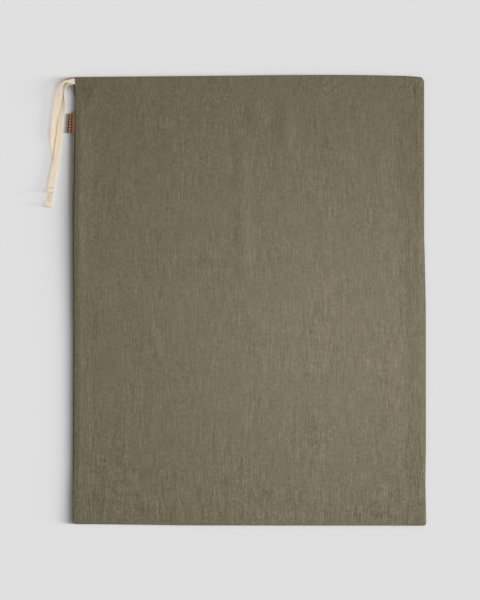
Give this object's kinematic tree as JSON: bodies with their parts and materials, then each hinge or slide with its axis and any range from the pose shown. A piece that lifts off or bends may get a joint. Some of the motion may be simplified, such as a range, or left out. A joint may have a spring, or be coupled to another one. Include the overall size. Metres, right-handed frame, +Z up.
{
  "type": "drawstring laundry bag",
  "caption": "Linen laundry bag lying flat and empty, sewn from a front and a back panel, with a stitched casing at its mouth and a knotted flat tape drawstring",
  "frame": {"origin": "Middle of the underside, on the surface that the bag lies on", "axes": "+X across the bag to its closed casing end, +Y from the bottom seam to the mouth, +Z up out of the front panel"},
  "size_m": [0.5954, 0.7031, 0.0084],
  "materials": {
    "linen": "matt plain weave with slubs",
    "cotton_tape": "matt flat-woven tape",
    "woven_ribbon": "close satin-woven ribbon"
  },
  "bodies": {
    "root": {"front_panel": "linen", "back_panel": "linen", "label": "woven_ribbon", "drawstring_in_casing": "cotton_tape", "drawstring_outer_end": "cotton_tape", "drawstring_inner_end": "cotton_tape", "drawstring_knot": "cotton_tape"}
  },
  "joints": []
}
